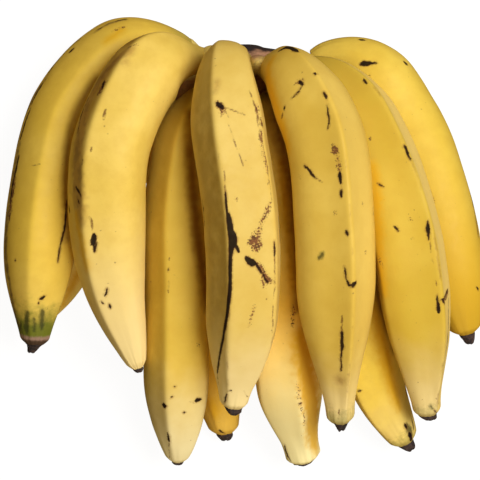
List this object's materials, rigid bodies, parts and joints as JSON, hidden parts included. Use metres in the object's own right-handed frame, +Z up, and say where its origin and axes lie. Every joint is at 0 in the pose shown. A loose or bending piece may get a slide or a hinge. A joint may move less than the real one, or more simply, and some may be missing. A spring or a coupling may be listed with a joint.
{
  "type": "hand of plantains",
  "caption": "Hand of ripe yellow plantains joined at one crown, lying on its cut side with the curved fingers arching forwards.",
  "frame": {"origin": "under the middle of the hand's footprint, on the surface it lies on", "axes": "+Z up, +Y towards the crown with the fingertips towards -Y, +X across the fan of fingers to the right as seen from above with the crown at the top"},
  "size_m": [0.3235, 0.3044, 0.1406],
  "materials": {
    "peel": "satin",
    "crown": "matte",
    "dry_flower": "matte"
  },
  "bodies": {
    "root": {"crown": "crown", "front_finger_1": "peel", "front_finger_2": "peel", "front_finger_3": "peel", "front_finger_4": "peel", "front_finger_5": "peel", "front_finger_6": "peel", "back_finger_1": "peel", "back_finger_2": "peel", "back_finger_3": "peel", "back_finger_4": "peel", "back_finger_5": "peel", "front_flower_tip_1": "dry_flower", "front_flower_tip_2": "dry_flower", "front_flower_tip_3": "dry_flower", "front_flower_tip_4": "dry_flower", "front_flower_tip_5": "dry_flower", "front_flower_tip_6": "dry_flower", "back_flower_tip_1": "dry_flower", "back_flower_tip_2": "dry_flower", "back_flower_tip_3": "dry_flower", "back_flower_tip_4": "dry_flower", "back_flower_tip_5": "dry_flower"}
  },
  "joints": []
}
